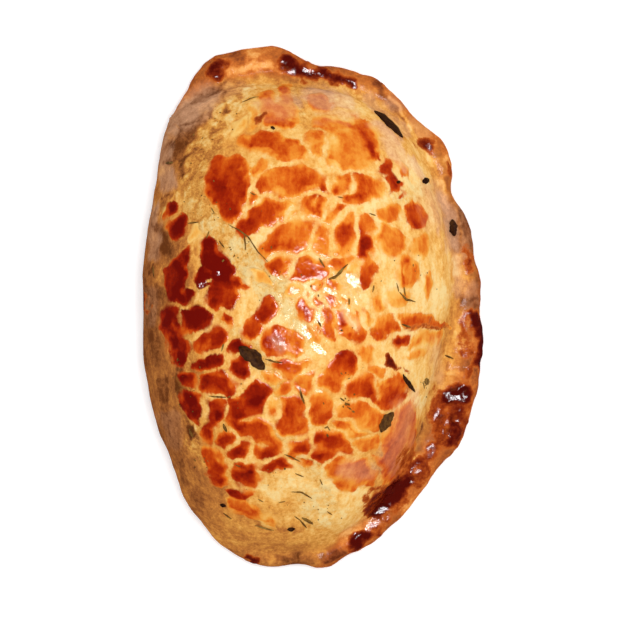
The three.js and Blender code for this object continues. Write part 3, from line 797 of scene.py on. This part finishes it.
# The painted sheen's colour: the dough's tone made paler, pinker and greyer, as the glaze's reflection
# shows it.
painted_sheen_colour = crust.ramp(dough_tone, [
    (0.0, 255, 214, 162), (0.34, 234, 174, 128), (0.6, 202, 148, 110),
    (0.8, 176, 122, 86), (1.0, 126, 76, 48),
])
specks = crust.rise(crust.grain(0.55), 0.62, 0.72)
specks = times(specks, crust.rise(rough_share, 0, 1, 0.12, 0.3))
SPECK_COLOUR, THIN_EGG_COLOUR = tint(168, 112, 50), tint(236, 152, 66)
dough_colour = crust.mix(specks, dough_colour, SPECK_COLOUR)
thin_egg = crust.rise(glaze_edge, -0.9, 0.0)
thin_egg = times(thin_egg, crust.rise(crust.grain(3, 1), 0.35, 0.6, 0.0, 0.3))
dough_colour = crust.mix(thin_egg, dough_colour, THIN_EGG_COLOUR)

# The rim, baked on all sides and more orange than the dome.
rim_tone = total(crust.read("bake_and_shade"), swing(3, 0.12), swing(1.1, 0.16), swing(0.45, 0.1))
rim_colour = crust.ramp(rim_tone, [
    (0.0, 254, 184, 106), (0.22, 236, 150, 72), (0.45, 208, 114, 48),
    (0.62, 182, 96, 42), (0.8, 150, 76, 38), (1.0, 108, 48, 22),
])
# Painted sheen laid over the dough, the glaze and the rim.
colour = crust.mix(crust.read("painted_sheen"), dough_colour, painted_sheen_colour)
glaze_colour = crust.mix(times(crust.read("painted_sheen"), 0.55), glaze_colour, painted_sheen_colour)
rim_colour = crust.mix(times(crust.read("painted_sheen"), 0.6), rim_colour, painted_sheen_colour)
colour = crust.mix(glazed, colour, glaze_colour)
colour = crust.mix(rim_share, colour, rim_colour)

# The caramel, from an orange brown where it is thin to nearly black where it lies deep.
mottling = times(total(swing(2.2, 0.26), swing(0.8, 0.16)), crust.rise(crust.read("caramel"), 0.02, 0.3))
burnt = total(crust.read("caramel"), mottling)
caramel_colour = crust.ramp(burnt, [
    (0.1, 206, 112, 50), (0.3, 184, 86, 30), (0.5, 150, 58, 18),
    (0.7, 118, 32, 8), (0.95, 84, 9, 2),
])
colour = crust.mix(crust.rise(burnt, 0.04, 0.3), colour, caramel_colour)
colour = crust.mix(crust.read("under"), colour, crust.ramp(crust.grain(4, 5), [
    (0.3, 196, 124, 62), (0.7, 140, 74, 30),
]))
crust.feed(crust.shader.inputs["Base Color"], colour)

# Egg dries to a shine, the dough to a dull skin.
crust.feed(crust.shader.inputs["Roughness"], crust.rise(glazed, 0, 1, 0.55, 0.36))
shine = times(crust.rise(glazed, 0, 1, 0.13, 0.52), crust.rise(rim_share, 0, 1, 1, 0.35))
wet_or_burnt = crust.sum("MAXIMUM", crust.read("wet"), crust.rise(burnt, 0.25, 0.7, 0, 0.7))
shine = crust.sum("MAXIMUM", shine, wet_or_burnt)
crust.feed(crust.shader.inputs["Coat Weight"], shine)
crust.shader.inputs["Specular IOR Level"].default_value = 0.0
crust.shader.inputs["Coat Roughness"].default_value = 0.08
crust.shader.inputs["Coat IOR"].default_value = 1.55
BUMP_STRENGTH = 0.9
rubble = times(crumb, crust.rise(glazed, 0, 1, 1.0, 0.12), crust.rise(rough_share, 0, 1, 0.3, 0.7))
plate_step = times(glazed, 0.1)
rubble = total(rubble, plate_step)
relief = crust.node("ShaderNodeBump", Strength=BUMP_STRENGTH, Distance=MM, Height=rubble)
crust.feed(crust.shader.inputs["Normal"], relief.outputs["Normal"])
film = total(times(crust.grain(1.8, 1.5), 0.2), times(crust.grain(0.8, 2), crust.read("wet"), 0.17))
film = total(film, times(plate_step, crust.rise(crust.read("wet"), 0, 1, 1, 0)))
film_relief = crust.node("ShaderNodeBump", Strength=BUMP_STRENGTH, Distance=MM, Height=film)
crust.feed(crust.shader.inputs["Coat Normal"], film_relief.outputs["Normal"])


def dress(piece, finish):
    """Gives a piece that finish and no other."""
    piece.data.materials.clear()
    piece.data.materials.append(finish.material)


dress(loaf, crust)
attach(loaf, "root")
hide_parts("loaf")


# ---- The threads of dill ----
# Chopped dill from the filling, thin as hair, that dried olive and brown in the oven. The threads
# lie in the glaze and stick to the dough. Thickness, then the places a thread runs through.
THREADS = [
    (0.5, [(-15.8, 16.5), (-15.6, 14.8), (-15.5, 13)]),
    (0.36, [(-19.5, 19), (-17, 17.6), (-15, 16.2), (-12.5, 12.5), (-10.5, 10.5)]),
    (0.4, [(-28.7, 19.1), (-26.3, 19.5)]), (0.5, [(-11, -12), (-9, -12.6), (-7, -12.8)]),
    (0.5, [(-20.5, -8.5), (-21, -10.2)]), (0.45, [(-36.7, 9.3), (-36.6, 6.7)]),
    (0.6, [(-3, -18.5), (-2.6, -20.6), (-2, -22.3)]), (0.5, [(1.3, 11.3), (2.8, 9)]),
    (0.8, [(3.7, 6.3), (5, 6.8), (6.4, 8.0), (7.5, 9.5)]), (0.5, [(5.5, 7.5), (8, 9.8)]),
    (0.5, [(8.3, 2), (8.3, 0.5)]), (0.6, [(20, 3.3), (21.5, 1.6), (23.5, 1.2)]),
    (0.5, [(21, 4.5), (21.3, 2.5)]), (0.45, [(19.2, 5.5), (19.7, 3.5)]), (0.45, [(14, 5), (13.8, 3.3)]),
    (0.6, [(20.5, -4), (22.5, -4.7)]), (0.5, [(1, -3), (2, -4.7)]), (0.4, [(13, 21.5), (14.5, 21)]),
    (0.5, [(30.4, -11.2), (32.2, -11.8)]), (0.45, [(-24, -20.5), (-20, -20.8)]),
    (0.8, [(-20.5, -27), (-19.8, -28.8)]), (0.8, [(-28.5, -28), (-27.5, -30)]),
    (0.4, [(-6.5, -34), (-5, -34.5), (-3, -35.6)]), (0.5, [(-5, -42.5), (-2.5, -42.7), (-0.3, -44)]),
    (0.5, [(-13.3, -50.3), (-11, -50.9), (-9, -51.4)]), (0.5, [(-20.5, -47.5), (-18.8, -48.7)]),
    (0.9, [(-2.5, -48.5), (-1.2, -49.1), (0, -50)]), (0.5, [(-3, -49), (-1.5, -50.8)]),
    (0.4, [(-4.2, -48.2), (-3, -49)]), (0.5, [(2.5, -27.8), (3.4, -27.6), (4, -28.5)]),
    (0.5, [(3.3, -29.3), (3.6, -30)]), (0.45, [(-14.4, 26.3), (-13.2, 25.7)]),
    (0.8, [(-33.8, 33), (-32.2, 33.2)]), (0.4, [(-16.3, 47), (-14.4, 47.9), (-12.5, 48.3)]),
    (0.4, [(5.7, 25.3), (7, 25)]), (0.45, [(6.3, -21), (7.2, -21.6)]),
    (0.5, [(7.4, -22), (8.4, -22.7)]), (0.45, [(8.2, -23.2), (8.8, -23.6)]),
    (0.5, [(9, -24), (9.6, -24.2)]), (0.4, [(6.8, -22.6), (7.2, -23.3)]),
    (0.4, [(-17.8, -36.4), (-16.6, -36.8)]), (0.4, [(-24.6, 15.8), (-23.8, 17.4)]),
    (0.4, [(-21.6, 15.2), (-20.4, 13.6)]), (0.35, [(-4, -38.4), (-2.2, -39)]),
    (0.35, [(1.6, -39.6), (2.2, -41)]), (0.35, [(-7.8, -45.2), (-6.4, -44.6)]),
    (0.35, [(3.2, -47), (4.4, -47.8)]), (0.35, [(-12.6, -44.2), (-11.4, -44.9)]),
    (0.35, [(-23.4, 22.8), (-22.6, 21.4)]), (0.35, [(25.4, -17.4), (25.6, -18.8)]),
]
THREAD_SPACING = 0.35  # from one point of a thread to the next, mm
bpy.context.view_layer.update()


def onto_skin(x, y):
    """The place on the loaf's skin that looks to be at x and y from above, all in mm."""
    sight = Vector((x, y, RIM_LEVEL)) - Vector(EYE)
    found, place, _, _ = loaf.ray_cast(Vector(EYE) * MM, sight.normalized())
    return np.array(place) / MM if found else np.array((x, y, 0.0))


chance = np.random.default_rng(61)
strands = bpy.data.curves.new("dill_threads", "CURVE")
strands.dimensions = "3D"
strands.bevel_depth = MM / 2
strands.bevel_resolution = 1
strands.use_fill_caps = True
for thickness, points in THREADS:
    points = np.array(points, float)
    length = np.linalg.norm(np.diff(points, axis=0), axis=1).sum()
    count = max(5, int(length / THREAD_SPACING))
    shares = np.linspace(0, len(points) - 1, count)
    path = np.stack([np.interp(shares, range(len(points)), points[:, axis]) for axis in (0, 1)], 1)
    sway = 0.12 * np.sin(shares * chance.uniform(2, 4) + chance.uniform(0, 6))
    path += np.stack([sway, -sway], 1) * chance.uniform(-1, 1)
    spline = strands.splines.new("POLY")
    spline.points.add(count - 1)
    for i, (x, y) in enumerate(path):
        place = onto_skin(x, y) + (0, 0, 0.1 * thickness + chance.uniform(-0.03, 0.05))
        spline.points[i].co = (*(place * MM), 1)
        tapering = min(1, 0.35 + 2.4 * min(i, count - 1 - i) / count)
        spline.points[i].radius = 0.85 * thickness * tapering * chance.uniform(0.75, 1.2)
dill = bpy.data.objects.new("dill_threads", strands)
bpy.context.collection.objects.link(dill)
take_up(dill)
bpy.ops.object.convert(target="MESH")
bpy.ops.object.shade_smooth()

# Herbs dry unevenly, in blotches of lighter and darker brown.
blotches = bpy.data.node_groups.new("herb blotches", "ShaderNodeTree")
blotches.interface.new_socket("Size", in_out="INPUT", socket_type="NodeSocketFloat")
blotches.interface.new_socket("Darkness", in_out="OUTPUT", socket_type="NodeSocketFloat")
handed_in, handed_out = blotches.nodes.new("NodeGroupInput"), blotches.nodes.new("NodeGroupOutput")
on_the_herb = blotches.nodes.new("ShaderNodeTexCoord")
per_metre = blotches.nodes.new("ShaderNodeMath")
per_metre.operation = "DIVIDE"
per_metre.inputs[0].default_value = 1.0
cloudy = blotches.nodes.new("ShaderNodeTexNoise")
cloudy.inputs["Detail"].default_value = 3.5
cloudy.inputs["Roughness"].default_value = 0.6
blotches.links.new(handed_in.outputs["Size"], per_metre.inputs[1])
blotches.links.new(on_the_herb.outputs["Object"], cloudy.inputs["Vector"])
blotches.links.new(per_metre.outputs[0], cloudy.inputs["Scale"])
blotches.links.new(cloudy.outputs["Fac"], handed_out.inputs["Darkness"])

dried = Finish("dried dill")
blotchy = dried.node("ShaderNodeGroup", {"node_tree": blotches}, Size=1.5 * MM).outputs["Darkness"]
dried.feed(dried.shader.inputs["Base Color"], dried.ramp(blotchy, [
    (0.35, 84, 50, 18), (0.5, 118, 80, 30), (0.65, 146, 116, 54),
]))
dried.shader.inputs["Roughness"].default_value = 0.55
dried.shader.inputs["Specular IOR Level"].default_value = 0.05
dress(dill, dried)
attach(dill, "root")


# ---- The herb leaves ----
# Torn flakes of larger herb leaf, curled and nearly black from the oven, stuck flat in the glaze.
# x, y, half length, half width, turn, how dark.
LEAVES = [
    (17.5, 42.1, 4.5, 0.7, -42, 0.85), (17, -26.5, 2.7, 1.1, 58, 0.5),
    (-14, -11.7, 3.9, 1.6, -42, 0.72), (22.1, -17.6, 2.4, 0.45, -58, 0.8),
    (32.3, 18.2, 1.9, 0.85, -80, 0.85), (26, 29, 0.8, 0.65, 30, 1.0), (26.2, -17.2, 0.8, 0.5, 80, 0.2),
    (-20.7, -45.7, 0.65, 0.35, -20, 0.9), (-5, -51.2, 0.85, 0.4, 10, 0.8),
    (19.7, 28.7, 0.4, 0.3, 0, 0.8), (-9.2, 41.2, 0.5, 0.3, -20, 0.8),
]
LEAF_THICKNESS = 0.24 * MM
RAISED = 0.16  # how high a leaf's middle lies over the skin, mm
flakes = []
for x, y, half_length, half_width, turn, dark in LEAVES:
    bpy.ops.mesh.primitive_grid_add(x_subdivisions=16, y_subdivisions=6, size=2)
    flake = bpy.context.object
    flat = places(flake) * MM  # the grid is 2 m wide: back to -1 to 1
    u, v = flat[:, 0], flat[:, 1]
    phase = chance.uniform(0, 6, 3)
    jag = 1 + 0.14 * np.sin(6 * u + phase[0]) * np.sign(v) + 0.1 * np.sin(13 * u + phase[1])
    across = v * half_width * jag * (1 - np.minimum(np.abs(u), 0.995) ** 2) ** 0.72
    across += 0.05 * half_length * np.sin(2.2 * u + phase[2])
    c, s = math.cos(math.radians(turn)), math.sin(math.radians(turn))
    along = u * half_length
    shaped = np.array([onto_skin(x + a * c - b * s, y + a * s + b * c) for a, b in zip(along, across)])
    shaped[:, 2] += RAISED + 0.22 * v * v * half_width + 0.05 * np.sin(9 * u + phase[0])
    move_to(flake, shaped)
    shade = flake.data.attributes.new("dark", "FLOAT", "POINT")
    shade.data.foreach_set("value", np.full(len(shaped), dark, np.float32))
    flakes.append(flake)
bpy.ops.object.select_all(action="DESELECT")
for flake in flakes:
    flake.select_set(True)
bpy.context.view_layer.objects.active = flakes[0]
bpy.ops.object.join()
leaves = bpy.context.object
leaves.name = "herb_leaves"
bpy.ops.object.mode_set(mode="EDIT")
bpy.ops.mesh.select_all(action="SELECT")
bpy.ops.mesh.remove_doubles(threshold=WELD)
bpy.ops.mesh.normals_make_consistent(inside=False)
bpy.ops.object.mode_set(mode="OBJECT")
finish_with(leaves, "SOLIDIFY", thickness=LEAF_THICKNESS, offset=0)
bpy.ops.object.shade_smooth()

leaf = Finish("dried leaf")
leaf.place = leaf.node("ShaderNodeTexCoord").outputs["Object"]
blotchy = leaf.node("ShaderNodeGroup", {"node_tree": blotches}, Size=0.9 * MM).outputs["Darkness"]
leaf_tone = leaf.sum("ADD", leaf.read("dark"), leaf.sum("SUBTRACT", blotchy, 0.5))
leaf.feed(leaf.shader.inputs["Base Color"], leaf.ramp(leaf_tone, [
    (0.1, 158, 122, 58), (0.35, 112, 74, 30), (0.6, 80, 46, 18), (0.9, 46, 20, 8),
]))
leaf.shader.inputs["Roughness"].default_value = 0.5
leaf.shader.inputs["Specular IOR Level"].default_value = 0.05
veins = leaf.sum("MULTIPLY", leaf.grain(0.5, 4), 0.25)
leaf_veins = leaf.node("ShaderNodeBump", Strength=0.8, Distance=MM, Height=veins)
leaf.feed(leaf.shader.inputs["Normal"], leaf_veins.outputs["Normal"])
dress(leaves, leaf)
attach(leaves, "root")


# ---- The crumbs of dill ----
# The finest bits of the dill, no larger than grains of sand, sprinkled all over by the chopping
# knife. They are thickest on the bare dough. Patch: x, y, reach, how many.
CRUMB_PATCHES = [
    (-24, 22, 6, 16), (-16, 12, 6, 12), (-8, -43, 7, 12), (2, -47, 6, 8), (-30, -20, 6, 14),
    (0, 8, 16, 14), (-22, 44, 5, 10), (8, -22.5, 1.4, 9), (-31.5, -13.5, 1.5, 4), (24, 8, 5, 8),
    (-28, 38, 5, 8), (8, -16, 8, 10), (26, -18, 3, 6), (-14, -20, 10, 8), (-26, -35, 4, 10),
]
CRUMB_SIZE = 0.12  # the smallest radius, mm
bpy.ops.object.select_all(action="DESELECT")
bits = None
for x, y, reach, count in CRUMB_PATCHES:
    for _ in range(count):
        place = onto_skin(*chance.normal((x, y), reach / 2))
        size = CRUMB_SIZE * chance.uniform(0.8, 2.0) ** 1.3
        bpy.ops.mesh.primitive_ico_sphere_add(
            subdivisions=1, radius=size * MM, location=place * MM, rotation=chance.uniform(0, 3, 3),
            scale=(chance.uniform(0.8, 2.2), chance.uniform(0.6, 1), 0.6))
        if bits is None:
            bits = bpy.context.object
            bits.name = "dill_crumbs"
            bpy.ops.object.transform_apply(location=True, rotation=True, scale=True)
            bpy.ops.object.mode_set(mode="EDIT")
bpy.ops.object.mode_set(mode="OBJECT")
dress(bits, dried)
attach(bits, "root")


# ---- The table, the light and the camera ----
# A white table under soft light from the far right, with a small bright lamp overhead that glints
# on the glaze. The camera looks straight down through a long lens.
TABLE_SIZE = 6
TABLE_GAP = 0.2 * MM  # keeps the loaf's base and the table apart
bpy.ops.mesh.primitive_plane_add(size=TABLE_SIZE, location=(0, 0, loaf_low.z - TABLE_GAP))
table = bpy.context.object
table.name = "table"
table_finish = Finish("table")
table_finish.shader.inputs["Base Color"].default_value = (0.95, 0.95, 0.95, 1)
table_finish.shader.inputs["Roughness"].default_value = 0.8
table_finish.shader.inputs["Emission Color"].default_value = (1, 1, 1, 1)
table_finish.shader.inputs["Emission Strength"].default_value = 0.15
table.visible_glossy = False
dress(table, table_finish)
LIT_POINT = Vector((0, 0, 0.02))  # the middle of the loaf


def lamp(name, place, size, power, colour=(1, 1, 1)):
    """An area light of that size, turned to the loaf."""
    light = bpy.data.lights.new(name, "AREA")
    light.shape = "RECTANGLE"
    light.size, light.size_y = size
    light.energy = power
    light.color = colour
    made = bpy.data.objects.new(name, light)
    bpy.context.collection.objects.link(made)
    made.location = place
    made.rotation_euler = (LIT_POINT - Vector(place)).to_track_quat("-Z", "Y").to_euler()
    return made


window = lamp("window", (0.75, 0.45, 0.8), (0.9, 0.9), 3.5)
window.visible_glossy = False
lamp("lamp", (0.004, 0.0, 0.9), (0.25, 0.25), 4.2, (0.95, 0.97, 1.0))
lamp("panel", (0.05, -0.02, 0.88), (0.46, 0.5), 1.4)
gleam = lamp("gleam", (0.02, 0.0, 0.89), (0.4, 0.4), 1.3, (0.86, 0.9, 1.0))
gleam.visible_diffuse = False
ROOM_BRIGHTNESS = 0.52
ROOM_IN_THE_GLAZE = 0.05  # the room is dim where it mirrors in the glaze
room = bpy.data.worlds.new("room")
room.use_nodes = True
nodes, links = room.node_tree.nodes, room.node_tree.links
seen_by = nodes.new("ShaderNodeLightPath")
strength = nodes.new("ShaderNodeMapRange")
strength.inputs["To Min"].default_value = ROOM_BRIGHTNESS
strength.inputs["To Max"].default_value = ROOM_IN_THE_GLAZE
links.new(seen_by.outputs["Is Glossy Ray"], strength.inputs["Value"])
links.new(strength.outputs["Result"], nodes["Background"].inputs["Strength"])
nodes["Background"].inputs["Color"].default_value = (1, 1, 1, 1)
bpy.context.scene.world = room

VIEW_WIDTH = 145.1  # how much of the table the picture spans, level with the rim, in mm
SENSOR_WIDTH = 36
camera_data = bpy.data.cameras.new("camera")
camera_data.sensor_width = SENSOR_WIDTH
camera_data.lens = SENSOR_WIDTH * (EYE[2] - RIM_LEVEL) / VIEW_WIDTH
camera = bpy.data.objects.new("camera", camera_data)
bpy.context.collection.objects.link(camera)
camera.location = Vector(EYE) * MM
bpy.context.scene.camera = camera
bpy.context.scene.view_settings.view_transform = "Standard"
